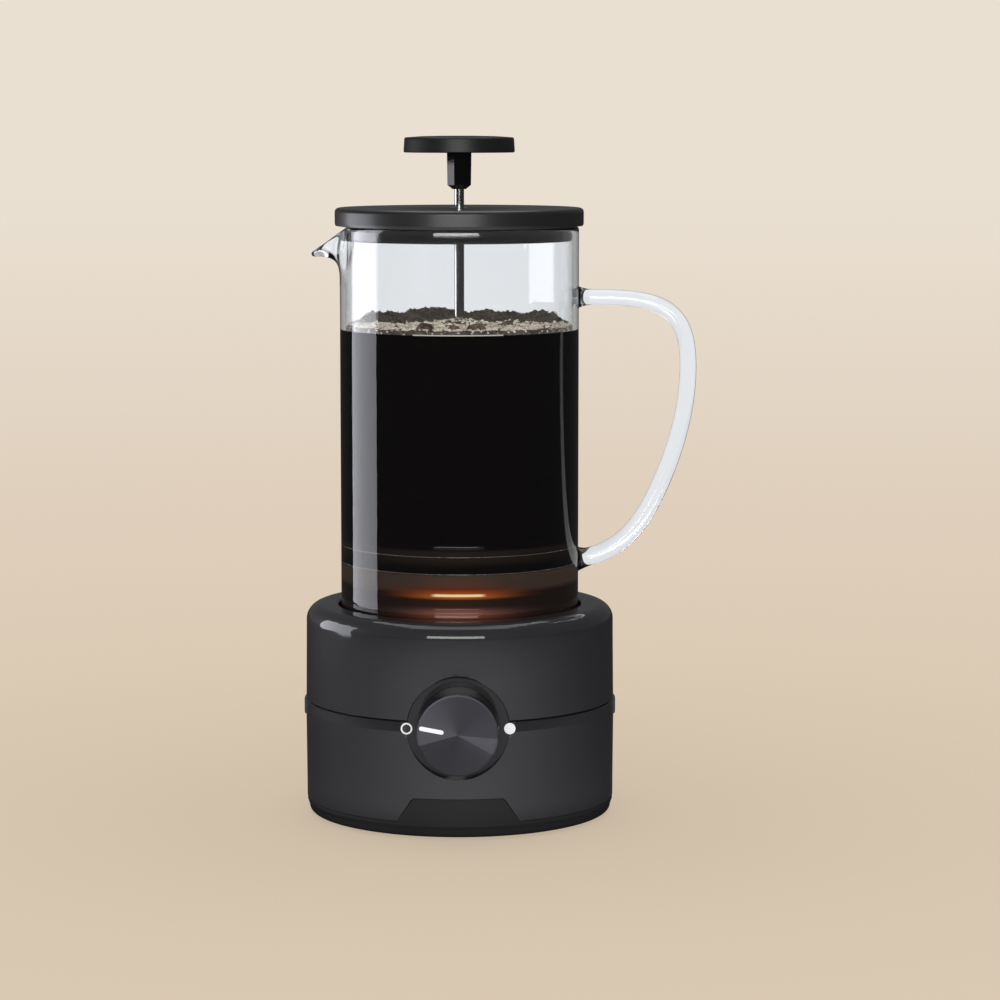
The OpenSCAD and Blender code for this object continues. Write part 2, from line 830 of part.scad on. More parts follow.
module plunger_knob() {
    knob_edge_z = knob_bottom_z + knob_t - 0.7;
    color(lid_black)
    difference() {
        rotate_extrude()
            polygon(concat(
                [[0, knob_bottom_z], [knob_r - 0.4, knob_bottom_z], [knob_r, knob_bottom_z + 0.4]],
                arc(knob_r - 1.2, knob_edge_z - 0.8, 0.9, 10, 80, 8),
                [[knob_r * 0.66, knob_bottom_z + knob_t - 0.15], [knob_r * 0.33, knob_bottom_z + knob_t]],
                [[0, knob_bottom_z + knob_t]]
            ));
        disc(2.6, knob_bottom_z - 1, knob_bottom_z + 3);
    }
}

module knob_stem() {
    facets = 8;
    across = 1 / cos(180 / facets);
    color(lid_black)
    difference() {
        rotate([0, 0, 180 / facets]) {
            translate([0, 0, stem_bottom_z])
                cylinder(
                    r1 = stem_bottom_w / 2 * across, r2 = stem_top_w / 2 * across,
                    h = knob_bottom_z - stem_bottom_z, $fn = facets
                );
            translate([0, 0, stem_tip_z])
                cylinder(
                    r1 = stem_tip_w / 2 * across, r2 = stem_bottom_w / 2 * across,
                    h = stem_bottom_z - stem_tip_z + eps, $fn = facets
                );
            translate([0, 0, knob_bottom_z - eps]) cylinder(r = 2.6, h = 3, $fn = 48);
        }
        disc(rod_r, stem_tip_z - 1, knob_bottom_z - 4);
    }
}

module plunger_rod() {
    color(steel)
    disc(rod_r, screen_z - 5, knob_bottom_z - 4);
}

module filter_dome() {
    color(steel)
    difference() {
        rotate_extrude()
            polygon([
                [rod_r, screen_z + 6.2], [10, screen_z + 6.2], [44.6, screen_z + 5],
                [45.4, screen_z + 5], [45.4, screen_z + 6],
                [44.8, screen_z + 6], [10, screen_z + 7.2], [7, screen_z + 11], [rod_r, screen_z + 11]
            ]);
        for (ring = [[18, 8], [28, 12], [37, 16]])
            on_ring(ring[0], [for (i = [0:ring[1] - 1]) 360 * i / ring[1]])
                disc(2.6, screen_z, screen_z + 10);
    }
}

module rim_spring() {
    color(steel)
    translate([0, 0, screen_z + 3])
        rotate_extrude()
            translate([spring_ring_r, 0]) circle(r = spring_tube_r, $fn = 24);
}

module mesh_screen() {
    color([0.62, 0.62, 0.62])
    difference() {
        union() {
            disc(cuff_r, screen_z, screen_z + 0.5);
            // turned-up edge that the spring presses against the glass
            tube(cuff_r, cuff_r - cuff_t, screen_z, screen_z + cuff_h);
        }
        disc(rod_r, screen_z - 1, screen_z + 2);
    }
}

module cross_plate() {
    color(steel)
    difference() {
        disc(44, screen_z - 1.4, screen_z);
        disc(rod_r, screen_z - 2, screen_z + 1);
        // openings between the four arms
        for (a = [0, 90, 180, 270]) rotate([0, 0, a])
            intersection() {
                translate([4, 4, screen_z - 2]) cube([40, 40, 3]);
                tube(38.5, 12, screen_z - 2, screen_z + 1);
            }
    }
}

module hub_nut() {
    color(steel)
    difference() {
        union() {
            disc(7, screen_z - 2.4, screen_z - 1.4);
            translate([0, 0, screen_z - 6]) cylinder(r = 5.6, h = 3.6 + eps, $fn = 6);
        }
        disc(rod_r, screen_z - 5, screen_z);
    }
}

upper_housing();
lower_housing();
base_skirt();
base_feet();
carafe_pad();
housing_screws();
skirt_screws();
motor_can();
motor_end_cap();
motor_bearings();
motor_plate();
motor_screws();
timer_body();
timer_nut();
circuit_board();
board_parts();
board_screws();
cord_gland();
wire_leads();
off_mark();
on_mark();
timer_dial();
dial_face();
dial_pointer();
timer_shaft();
motor_rotor();
motor_shaft();
magnet_holder();
drive_magnets();
carafe_glass();
glass_handle();
fill_line();
stirrer();
stirrer_magnets();
lid_cap();
lid_skirt();
lid_seal();
rod_bush();
plunger_knob();
knob_stem();
plunger_rod();
filter_dome();
rim_spring();
mesh_screen();
cross_plate();
hub_nut();
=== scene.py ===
import json
import math
import random

import bmesh
import bpy
from mathutils import Matrix, Vector, noise


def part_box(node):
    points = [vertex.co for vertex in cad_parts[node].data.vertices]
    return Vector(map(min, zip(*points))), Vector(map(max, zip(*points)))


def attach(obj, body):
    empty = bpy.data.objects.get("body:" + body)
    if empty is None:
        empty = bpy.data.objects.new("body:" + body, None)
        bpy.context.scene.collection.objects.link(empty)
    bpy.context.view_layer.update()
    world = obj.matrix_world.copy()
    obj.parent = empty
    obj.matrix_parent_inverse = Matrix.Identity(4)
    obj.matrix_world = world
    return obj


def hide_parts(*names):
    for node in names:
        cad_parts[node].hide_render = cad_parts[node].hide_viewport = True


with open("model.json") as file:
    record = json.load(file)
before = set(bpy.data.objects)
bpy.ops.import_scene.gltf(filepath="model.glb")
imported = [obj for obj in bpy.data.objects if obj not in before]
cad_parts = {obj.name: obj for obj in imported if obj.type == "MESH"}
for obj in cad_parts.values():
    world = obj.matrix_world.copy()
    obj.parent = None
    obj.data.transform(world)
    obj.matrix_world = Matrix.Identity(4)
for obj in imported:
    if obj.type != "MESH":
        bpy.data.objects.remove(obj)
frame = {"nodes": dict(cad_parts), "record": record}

NODES = frame["nodes"]
NODE_SLOT = {row["node"]: row["material_slot"] for row in frame["record"]["subparts"]}
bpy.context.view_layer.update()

# The sizes of pieces are in millimetres, and MM turns them into Blender's metres.
MM = 0.001
FULL_TURN = 2 * math.pi
ROUND_STEPS, FILLET_STEPS, CREASE = 224, 7, 35

# The recess round the dial, where the housing gets painted shade: its height, radius, the depth of
# its floor, and how soft its edge is
DIAL_HEIGHT, RECESS_R, RECESS_FLOOR, RECESS_EDGE = 46.3, 21.1, 61.3, 0.2

# The jug: outline points are (radius, height)
JUG_OUTSIDE, JUG_INSIDE, JUG_RIM = 50, 47.8, 246.3
JUG_ROUND_STEPS, WALL_STEPS, LIP_STEPS, RIM_STEPS = 288, 14, 18, 8
UNDER_FLOOR = [
    (0, 78.3), (22, 78.3), (38, 77.9), (42, 77.5), (45.6, 77.55), (48.2, 78.6), (49.6, 80.4),
    (50, 83),
]
OVER_FLOOR = [(47.5, 83.6), (46.5, 81.8), (44.6, 80.8), (41, 80.5), (22, 80.8), (0, 80.9)]
INNER_WALL_LOW = 86
LIP_OUTSIDE = [(50, 224), (50, 231.5), (50.6, 235.3), (60.6, 234.9)]
LIP_INSIDE = [(60.6, 237.3), (54.0, 237.1), (47.9, 233.5), (47.8, 222)]
LIP_TIP, LIP_EDGE_R, LIP_SWING = (60.6, 236.1), 1.2, math.radians(21)
GLASS_CREASE = 50

# The handle: three curves one after another, and the rod's radius with its flare at both roots
HANDLE = [
    [(49.1, 0, 218.0), (82.0, 0, 218.3), (95.9, 0, 216.5), (95.9, 0, 189.0)],
    [(95.9, 0, 189.0), (95.9, 0, 172.0), (91.5, 0, 155.7), (84.8, 0, 140.1)],
    [(84.8, 0, 140.1), (76.2, 0, 119.9), (66.0, 0, 109.3), (49.1, 0, 107.6)],
]
HANDLE_R, HANDLE_GROWTH, FLARE, FLARE_LENGTH = 3.25, 0.6, 1.7, 6.5
HANDLE_STEPS, HANDLE_SIDES = 72, 64

# The brew: its column fills the glass up to the surface. Beads are (height, bulge), and mounds
# are (x, y, height, spread). Clods are (x, y, half width, half height).
COFFEE_R, SURFACE = 47.83, 205.6
BEADS, BEAD_LEAN = ((91.0, 2.0), (92.6, 2.0), (98.7, 5.0), (118.1, 4.0)), 13
FOAM_INSIDE, FOAM_OUTSIDE, FOAM_DEPTH = 2.6, 47.6, 2.6
FOAM_RINGS, FOAM_SPOKES = 64, 320
MOUND_AT_ROD = (0, -3, 2.4, 90)
HILLS = ((-14, 38, 1.8, 60), (38, 22, 2.2, 50))
LUMP_COUNT, LUMP_SEED = 3000, 41
CLODS = (
    (-13.3, -37.5, 3.4, 2.2), (7.2, -38.5, 3.6, 2.3), (-1.8, -40, 2.2, 1.6), (20, -12, 2.6, 1.6),
    (-26, 4, 3.0, 1.8),
)

# The filter
SPRING_R, COIL_R, SPRING_HEIGHT, WIRE_R = 45.6, 1.35, 110.0, 0.34
COILS, COIL_STEPS, WIRE_SIDES = 130, 14, 7
GAUZE_PITCH = 0.55


def linear(red, green, blue):
    """A colour given as 0 to 255 per channel, as the shader wants it."""
    def one(c):
        c /= 255
        return c / 12.92 if c <= 0.04045 else ((c + 0.055) / 1.055) ** 2.4
    return (one(red), one(green), one(blue), 1.0)


def shaded(colour, share):
    """The colour with its red, green and blue multiplied by share."""
    return tuple(c * share for c in colour[:3]) + (1,)


class Value:
    """One output of a material's nodes. Arithmetic on it adds Math nodes."""

    def __init__(self, finish, socket):
        self.finish = finish
        self.socket = socket

    def __add__(self, other):
        return self.finish.maths("ADD", self, other)

    __radd__ = __add__

    def __sub__(self, other):
        return self.finish.maths("SUBTRACT", self, other)

    def __rsub__(self, other):
        return self.finish.maths("SUBTRACT", other, self)

    def __mul__(self, other):
        return self.finish.maths("MULTIPLY", self, other)

    __rmul__ = __mul__

    def __truediv__(self, other):
        return self.finish.maths("DIVIDE", self, other)

    def __pow__(self, other):
        return self.finish.maths("POWER", self, other)

    def above(self, low, high, soft=True):
        """0 below low, 1 above high, and a rise between, smooth or straight."""
        return self.finish.add(
            "ShaderNodeMapRange",
            {"interpolation_type": "SMOOTHSTEP" if soft else "LINEAR"},
            {"Value": self, "From Min": low, "From Max": high},
        )


class Finish:
    """The nodes of a material, of a lamp or of the world."""

    def __init__(self, name, owner=None):
        self.owner = owner or bpy.data.materials.new(name)
        self.owner.use_nodes = True
        self.tree = self.owner.node_tree
        self.tree.nodes.clear()

    def add(self, kind, settings=None, sockets=None, output=0):
        """A node: its type, its settings, and the values or links of its sockets."""
        node = self.tree.nodes.new(kind)
        for name, value in (settings or {}).items():
            if name == "stops":
                ramp = node.color_ramp
                while len(ramp.elements) < len(value):
                    ramp.elements.new(1.0)
                for element, (place, colour) in zip(ramp.elements, value):
                    element.position = place
                    element.color = colour
            else:
                setattr(node, name, value)
        for name, value in (sockets or {}).items():
            if isinstance(value, Value):
                self.tree.links.new(value.socket, node.inputs[name])
            else:
                node.inputs[name].default_value = value
        return Value(self, node.outputs[output]) if node.outputs else None

    def maths(self, operation, first, second=0.0):
        return self.add("ShaderNodeMath", {"operation": operation}, {0: first, 1: second})

    def place(self):
        return self.add("ShaderNodeTexCoord", output="Object")

    def stretched(self, x, y, z):
        sockets = {"Vector": self.place(), "Scale": (x, y, z)}
        return self.add("ShaderNodeMapping", {}, sockets)

    def axis(self, letter):
        return self.add("ShaderNodeSeparateXYZ", {}, {"Vector": self.place()}, output=letter)

    def noise(self, scale, detail, roughness, vector=None):
        return self.add("ShaderNodeTexNoise", {}, {
            "Vector": vector or self.place(), "Scale": scale, "Detail": detail,
            "Roughness": roughness,
        })

    def cells(self, scale, feature="F1", output="Distance"):
        sockets = {"Vector": self.place(), "Scale": scale}
        return self.add("ShaderNodeTexVoronoi", {"feature": feature}, sockets, output=output)

    def mix(self, factor, first, second):
        sockets = {0: factor, 6: first, 7: second}
        return self.add("ShaderNodeMix", {"data_type": "RGBA"}, sockets, output=2)

    def ramp(self, stops, place):
        """The colour of a ramp of (place, colour) stops."""
        return self.add("ShaderNodeValToRGB", {"stops": stops}, {"Fac": place})

    def bump(self, height, distance, strength):
        sockets = {"Height": height, "Distance": distance, "Strength": strength}
        return self.add("ShaderNodeBump", {}, sockets, output="Normal")

    def body(self, **sockets):
        """The main shader; a socket's name is written with _ for a space."""
        named = {name.replace("_", " "): value for name, value in sockets.items()}
        return self.add("ShaderNodeBsdfPrincipled", {}, named)

    def emission(self, colour, strength):
        return self.add("ShaderNodeEmission", {}, {"Color": colour, "Strength": strength})

    def path(self, output):
        """What the ray is, or how many times it has been bent or thrown back."""
        return self.add("ShaderNodeLightPath", output=output)

    def seen_straight(self):
        """1 for a ray that came through glass and met nothing else."""
        passed = self.path("Transmission Depth").above(0.2, 0.8)
        thrown = (self.path("Glossy Depth") + self.path("Diffuse Depth")).above(0.2, 0.8)
        return passed * (1 - thrown)

    def seen_through(self):
        """1 for a ray that came through glass, less for one that was thrown about inside it."""
        passed = self.path("Is Transmission Ray")
        thrown = self.path("Glossy Depth").above(0.2, 0.8)
        deep = self.path("Transmission Depth").above(2.2, 2.8)
        return passed * (1 - thrown * (0.28 + 0.72 * deep))

    def done(self, shader, volume=None):
        links = {"Surface": shader}
        if volume is not None:
            links["Volume"] = volume
        self.add("ShaderNodeOutputMaterial", {}, links)
        return self.owner


def moulded_plastic(name, colour, roughness, specular, coat=0.0, haze=0.04, painted_recess_shade=False):
    """Moulded plastic: a fine grain, a faint drift of shade, and a glossy skin if it has one."""
    f = Finish(name)
    fine = f.noise(2600, 3, 0.6)
    drift = f.noise(14, 2, 0.5)
    # Painted shade: inside the dial's recess the glossy skin is thinner, which darkens the recess.
    if painted_recess_shade:
        x, y, z = f.axis("X"), f.axis("Y"), f.axis("Z") - DIAL_HEIGHT * MM
        low, high = -RECESS_EDGE * MM, RECESS_EDGE * MM
        outside = ((x * x + z * z) ** 0.5).above(RECESS_R * MM + low, RECESS_R * MM + high)
        forward = (-1 * y).above(RECESS_FLOOR * MM + low, RECESS_FLOOR * MM + high)
        coat = 0.45 + 0.55 * (1 - (1 - outside) * (1 - forward))
    return f.done(f.body(
        Base_Color=f.mix(drift.above(0.3, 0.7), shaded(colour, 0.94), shaded(colour, 1.06)),
        Roughness=roughness + 0.05 * fine + 0.04 * drift,
        Specular_IOR_Level=specular,
        Coat_Weight=coat,
        Coat_Roughness=haze,
        Normal=f.bump(fine, 0.00001, 0.4),
    ))


def soft_gloss(name, colour, roughness, specular=0.5):
    """Smooth mouldings: hardly any grain, only a slight waviness in the gloss."""
    f = Finish(name)
    wave = f.noise(60, 2, 0.5)
    fine = f.noise(1800, 2, 0.5)
    return f.done(f.body(
        Base_Color=f.mix(wave, shaded(colour, 0.94), shaded(colour, 1.06)),
        Roughness=roughness * (0.8 + 0.4 * wave),
        Specular_IOR_Level=specular,
        Normal=f.bump(fine, 0.000006, 0.5),
    ))


def metal(name, colour, roughness, brushed=(1, 1, 1), scratch=0.00001, scale=900):
    """Bare metal with a fine brushed or drawn grain along one direction."""
    f = Finish(name)
    lines = f.noise(scale, 3, 0.6, f.stretched(*brushed))
    cloud = f.noise(35, 2, 0.5)
    return f.done(f.body(
        Base_Color=f.mix(cloud, shaded(colour, 0.92), colour),
        Metallic=1.0,
        Roughness=roughness * (0.8 + 0.6 * lines + 0.2 * cloud),
        Normal=f.bump(lines, scratch, 0.5),
    ))


def rubber(name, colour, roughness=0.75):
    """Rubber or silicone: matt and finely pitted."""
    f = Finish(name)
    pores = f.noise(1500, 4, 0.7)
    return f.done(f.body(
        Base_Color=f.mix(pores, shaded(colour, 0.85), shaded(colour, 1.15)),
        Roughness=roughness + 0.1 * pores,
        Specular_IOR_Level=0.35,
        Normal=f.bump(pores, 0.00003, 0.6),
    ))


def spun_disc():
    """Dark lacquered metal turned on a lathe: fine rings in its bump, and a fan of highlights
    painted into its colour by the angle round the disc.
    """
    f = Finish("spun_dial_metal")
    x, y = f.axis("X"), f.axis("Y")
    radius = (x * x + y * y) ** 0.5
    rings = f.add("ShaderNodeTexNoise", {"noise_dimensions": "1D"}, {
        "W": radius * 5200, "Scale": 1.0, "Detail": 3.0, "Roughness": 0.7,
    })
    turn = f.maths("ARCTAN2", y, x) / FULL_TURN + 0.5

    def shade(level):
        return linear(level - 6, level - 7, level - 2)
    # Painted highlights and shade: bright wedges and darker sectors by angle, fixed to the disc so
    # they turn with the dial.
    fan = f.ramp([
        (0.0, shade(92)), (0.040, shade(92)), (0.046, shade(62)), (0.25, shade(71)),
        (0.375, shade(75)), (0.416, shade(76)), (0.421, shade(96)), (0.483, shade(96)),
        (0.489, shade(73)), (0.625, shade(72)), (0.75, shade(82)), (0.833, shade(92)),
        (1.0, shade(92)),
    ], turn)
    return f.done(f.body(
        Base_Color=f.mix(rings.above(0.3, 0.7) * 0.16, fan, linear(30, 30, 32)),
        Metallic=0.85,
        Roughness=0.36 + 0.08 * rings,
        Anisotropic=0.6,
        Normal=f.bump(rings, 0.00001, 0.5),
    ))


def printed(name, dark, light, painted_glow):
    """Screen-printed ink, a little chalky, with a painted glow of its own colour."""
    f = Finish(name)
    grain = f.noise(3000, 3, 0.6)
    colour = f.mix(grain, dark, light)
    return f.done(f.body(
        Base_Color=colour,
        Roughness=0.5 + 0.1 * grain,
        # Painted glow: the ink's colour also shines as light.
        Emission_Color=colour,
        Emission_Strength=painted_glow,
    ))


def clear_glass():
    """Borosilicate glass: clear face on, greyer where more of the wall lies in the way."""
    f = Finish("clear_glass")
    ripple = f.noise(22, 2, 0.4, f.stretched(1, 1, 0.35))
    shader = f.body(
        Base_Color=(1, 1, 1, 1),
        Roughness=0.0,
        IOR=1.47,
        Transmission_Weight=1.0,
        Normal=f.bump(ripple, 0.00006, 0.25),
    )
    grey = {"Color": (0.62, 0.68, 0.66, 1), "Density": 34.0}
    return f.done(shader, f.add("ShaderNodeVolumeAbsorption", {}, grey))


def brewed_coffee():
    """Near-black coffee, with a painted amber glow near the glass floor that is strongest toward
    the front.
    """
    f = Finish("brewed_coffee")
    x, y, height = f.axis("X"), f.axis("Y"), f.axis("Z")
    facing = y * y / (x * x + y * y)
    # The emitted colour is painted light: glow ramps by height, the plain one for the sides and
    # amber bands for the front.
    glow = facing ** 7

    def between(low, full, fading, high):
        return height.above(low * MM, full * MM) * (1 - height.above(fading * MM, high * MM))
    rise = height.above(88 * MM, 108 * MM, soft=False)
    plain = f.ramp([
        (0.0, linear(20, 13, 10)), (0.54, linear(21, 14, 11)), (0.64, linear(52, 40, 34)),
        (0.93, linear(52, 42, 36)), (0.965, linear(8, 7, 6)), (1.0, linear(4, 4, 4)),
    ], rise)
    painted_front_bands = f.ramp([
        (0.0, linear(30, 16, 10)), (0.10, linear(104, 56, 38)), (0.20, linear(110, 60, 44)),
        (0.30, linear(40, 22, 15)), (0.44, linear(44, 26, 16)), (0.50, linear(176, 92, 36)),
        (0.58, linear(150, 66, 20)), (0.66, linear(92, 38, 17)), (0.76, linear(74, 50, 40)),
        (0.90, linear(66, 50, 42)), (0.955, linear(58, 48, 40)), (0.97, linear(10, 8, 7)),
        (1.0, linear(5, 4, 4)),
    ], rise)
    # In a narrow band at the front: a painted glint just under 99 mm, and the only gloss on the
    # beads.
    middle = facing.above(0.94, 0.97)
    painted_glint = between(98.0, 98.3, 98.9, 99.3) * middle
    lit = f.mix(painted_glint, f.mix(glow, plain, painted_front_bands), linear(238, 212, 156))
    haze = between(109, 114, 116, 117.6) * (0.45 + 0.55 * facing ** 3)
    lit = f.mix(haze, lit, linear(31, 26, 22))
    beads = 0.0
    near, clear = 0.4 * MM, 0.9 * MM
    for level, _ in BEADS:
        over = (height - level * MM).above(near, clear)
        under = (level * MM - height).above(near, clear)
        beads = 1 - over - under + beads
    return f.done(f.body(
        Base_Color=linear(13, 10, 9),
        Roughness=0.5,
        Specular_IOR_Level=0.0,
        Coat_Weight=beads * middle * 0.5,
        Coat_Roughness=0.03,
        Emission_Color=lit,
        Emission_Strength=1.0,
    ))


def coffee_crust(name, light, dark, painted_glow):
    """Ground coffee or froth: uneven in tone, pitted, and with a painted glow of its own colour."""
    f = Finish(name)
    speck = f.cells(620, output="Color")
    tone = f.add("ShaderNodeSeparateXYZ", {}, {"Vector": speck}, output="X")
    patches = f.noise(120, 4, 0.65)
    pits = f.cells(900)
    unevenness = tone.above(0.2, 0.85) * 0.55 + patches.above(0.4, 0.62) * 0.45
    colour = f.mix(unevenness, dark, light)
    return f.done(f.body(
        Base_Color=colour,
        Roughness=0.55 + 0.2 * tone,
        Specular_IOR_Level=0.3,
        # Painted glow: the colour also shines as light.
        Emission_Color=colour,
        Emission_Strength=painted_glow,
        Normal=f.bump(pits + 0.5 * patches, 0.0006, 0.9),
    ))


def woven_mesh():
    """Fine steel gauze: two sets of wires that pass over and under each other."""
    f = Finish("woven_gauze")
    x, y = f.axis("X"), f.axis("Y")
    pitch = FULL_TURN / (GAUZE_PITCH * MM)
    cross = f.maths("MAXIMUM", f.maths("SINE", x * pitch), f.maths("SINE", y * pitch))
    gap = 1 - cross.above(-0.35, 0.25)
    return f.done(f.body(
        Base_Color=f.mix(gap, linear(186, 188, 190), linear(38, 38, 40)),
        Metallic=1.0 - 0.6 * gap,
        Roughness=0.3 + 0.4 * gap,
        Normal=f.bump(cross, 0.00012, 0.8),
    ))


def circuit_laminate(name, colour):
    """Lacquered laminate with paler tracks under its skin."""
    f = Finish(name)
    weave = f.noise(700, 2, 0.5, f.stretched(1, 6, 1))
    tracks = f.cells(260, "DISTANCE_TO_EDGE")
    return f.done(f.body(
        Base_Color=f.mix(tracks.above(0.02, 0.05), shaded(colour, 1.8), colour),
        Roughness=0.38 + 0.12 * weave,
        Normal=f.bump(weave, 0.00002, 0.5),
    ))


FINISH = {
    "housing_plastic": moulded_plastic(
        "charcoal_housing", linear(44, 43, 45), 0.50, 0.15, coat=1.0, painted_recess_shade=True),
    "skirt_plastic": moulded_plastic("dark_skirt", linear(44, 43, 43), 0.50, 0.15, coat=0.1),
    "lid_plastic": moulded_plastic(
        "satin_black_lid", linear(27, 27, 27), 0.41, 0.7, coat=0.5, haze=0.24),
    "dial_plastic": soft_gloss("gloss_black_dial", linear(20, 20, 21), 0.16, 0.6),
    "dial_metal": spun_disc(),
    "white_print": printed("white_ink", linear(222, 223, 222), linear(246, 246, 244), 0.42),
    "polished_steel": metal("polished_steel", linear(205, 206, 208), 0.17, (1, 1, 0.05)),
    "zinc_steel": metal("zinc_plate", linear(176, 180, 186), 0.34, (1, 1, 1), 0.00002, 300),
    "clear_glass": clear_glass(),
    "black_rubber": rubber("black_rubber", linear(30, 30, 31)),
    "grey_silicone": rubber("grey_silicone", linear(96, 98, 100), 0.6),
    "bearing_bronze": metal("bearing_bronze", linear(150, 112, 66), 0.3, (1, 1, 8)),
    "rotor_copper": metal(
        "copper_winding", linear(176, 100, 58), 0.28, (0.2, 0.2, 6), 0.00006, 500),
    "white_plastic": soft_gloss("white_nylon", linear(222, 220, 212), 0.42),
    "magnet_nickel": metal("nickel_plate", linear(196, 196, 192), 0.2),
    "board_green": circuit_laminate("board_green", linear(24, 78, 44)),
    "board_blue": soft_gloss("part_blue", linear(34, 70, 130), 0.35),
    "lead_red": soft_gloss("lead_red", linear(156, 30, 26), 0.4),
}
CRUST = coffee_crust("wet_crust", linear(94, 86, 72), linear(50, 42, 32), 0.3)
GRAINS = coffee_crust("ground_coffee", linear(112, 96, 76), linear(50, 38, 28), 0.3)
FROTH = coffee_crust("pale_froth", linear(216, 208, 195), linear(138, 129, 110), 0.62)
COFFEE = brewed_coffee()
GAUZE = woven_mesh()
SKIRT = soft_gloss("gloss_black_skirt", linear(14, 14, 15), 0.10)
OWN_FINISH = {
    "plunger_knob": moulded_plastic("matt_black_knob", linear(27, 27, 28), 0.37, 0.5),
    "plunger_rod": metal("drawn_rod", linear(196, 196, 197), 0.066, (1, 1, 0.02), 0.000002, 1200),
    "knob_stem": soft_gloss("gloss_black_stem", linear(14, 14, 15), 0.03),
    "fill_line": printed("dull_ink", linear(150, 146, 136), linear(170, 165, 154), 0.5),
}


def dress_nodes():
    """Every CAD node takes its own finish, or else that of its record's material slot."""
    for name, obj in NODES.items():
        obj.data.materials.clear()
        obj.data.materials.append(OWN_FINISH.get(name, FINISH[NODE_SLOT[name]]))
        for face in obj.data.polygons:
            face.material_index = 0


def smooth(mesh, crease):
    """Smooth shading across edges gentler than crease, in degrees."""
    mesh.polygons.foreach_set("use_smooth", [True] * len(mesh.polygons))
    mesh.set_sharp_from_angle(angle=math.radians(crease))


def solid(name, points, faces, finish, body, slot=None, crease=CREASE, stand=None):
    """A piece from points in metres and their faces, stood up by the matrix stand if given."""
    mesh = bpy.data.meshes.new(name)
    mesh.from_pydata([tuple(p) for p in points], [], faces)
    work = bmesh.new()
    work.from_mesh(mesh)
    bmesh.ops.recalc_face_normals(work, faces=work.faces)
    work.to_mesh(mesh)
    work.free()
    smooth(mesh, crease)
    mesh.materials.append(finish)
    obj = bpy.data.objects.new(name, mesh)
    bpy.context.scene.collection.objects.link(obj)
    if stand is not None:
        obj.matrix_world = stand
    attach(obj, body)
    return obj


def skin(rows):
    """Faces from each ring of point numbers to the next; a ring of one point is a tip."""
    faces = []
    for low, high in zip(rows, rows[1:]):
        steps = max(len(low), len(high))
        for i in range(steps if steps > 1 else 0):
            j = (i + 1) % steps
            if len(low) == 1:
                faces.append((low[0], high[j], high[i]))
            elif len(high) == 1:
                faces.append((low[i], low[j], high[0]))
            else:
                faces.append((low[i], low[j], high[j], high[i]))
    return faces


def ring_rows(count, sides):
    """The point numbers of count rings that follow each other."""
    return [list(range(n * sides, (n + 1) * sides)) for n in range(count)]


def eased(corners):
    """An outline whose corners (radius, height, fillet) are rounded by their fillet."""
    line = []
    for i, (r, z, fillet) in enumerate(corners):
        here = Vector((r, z))
        if fillet <= 0 or i in (0, len(corners) - 1):
            line.append((r, z))
            continue
        before = Vector(corners[i - 1][:2]) - here
        after = Vector(corners[i + 1][:2]) - here
        half = before.angle(after) / 2
        reach = min(fillet / math.tan(half), 0.49 * before.length, 0.49 * after.length)
        radius = reach * math.tan(half)
        inward = (before.normalized() + after.normalized()).normalized()
        centre = here + inward * (radius / math.sin(half))
        start = here + before.normalized() * reach - centre
        stop = here + after.normalized() * reach - centre
        for k in range(FILLET_STEPS + 1):
            spoke = start.lerp(stop, k / FILLET_STEPS).normalized() * radius
            line.append(tuple(centre + spoke))
    return line


def turned_faces(outline, steps):
    """Points and faces of an outline (radius, height) turned about Z."""
    points, rows = [], []
    for r, z in outline:
        if r < 1e-6:
            rows.append([len(points)])
            points.append((0, 0, z))
        else:
            rows.append(list(range(len(points), len(points) + steps)))
            for i in range(steps):
                a = FULL_TURN * i / steps
                points.append((r * math.cos(a), r * math.sin(a), z))
    if len(rows[0]) > 1:
        rows.append(rows[0])
    return points, skin(rows)


def turned(name, corners, finish, body, slot=None, crease=CREASE):
    """A piece turned about Z from corners (radius, height, fillet)."""
    outline = [(r * MM, z * MM) for r, z in eased(corners)]
    return solid(name, *turned_faces(outline, ROUND_STEPS), finish, body, slot, crease)


def bezier(a, b, c, d, t):
    s = 1 - t
    return a * s ** 3 + b * 3 * s * s * t + c * 3 * s * t * t + d * t ** 3


def swept_faces(path, radii, sides):
    """A capped tube along a path of points, with one radius for each point."""
    points = []
    last = len(path) - 1
    side = Vector((0, 1, 0))
    for i, here in enumerate(path):
        along = (path[min(i + 1, last)] - path[max(i - 1, 0)]).normalized()
        side = (side - along * side.dot(along)).normalized()
        up = along.cross(side)
        for k in range(sides):
            a = FULL_TURN * k / sides
            points.append(here + (side * math.cos(a) + up * math.sin(a)) * radii[i])
    rows = ring_rows(len(path), sides)
    return points, skin(rows) + [tuple(rows[0]), tuple(rows[-1])]


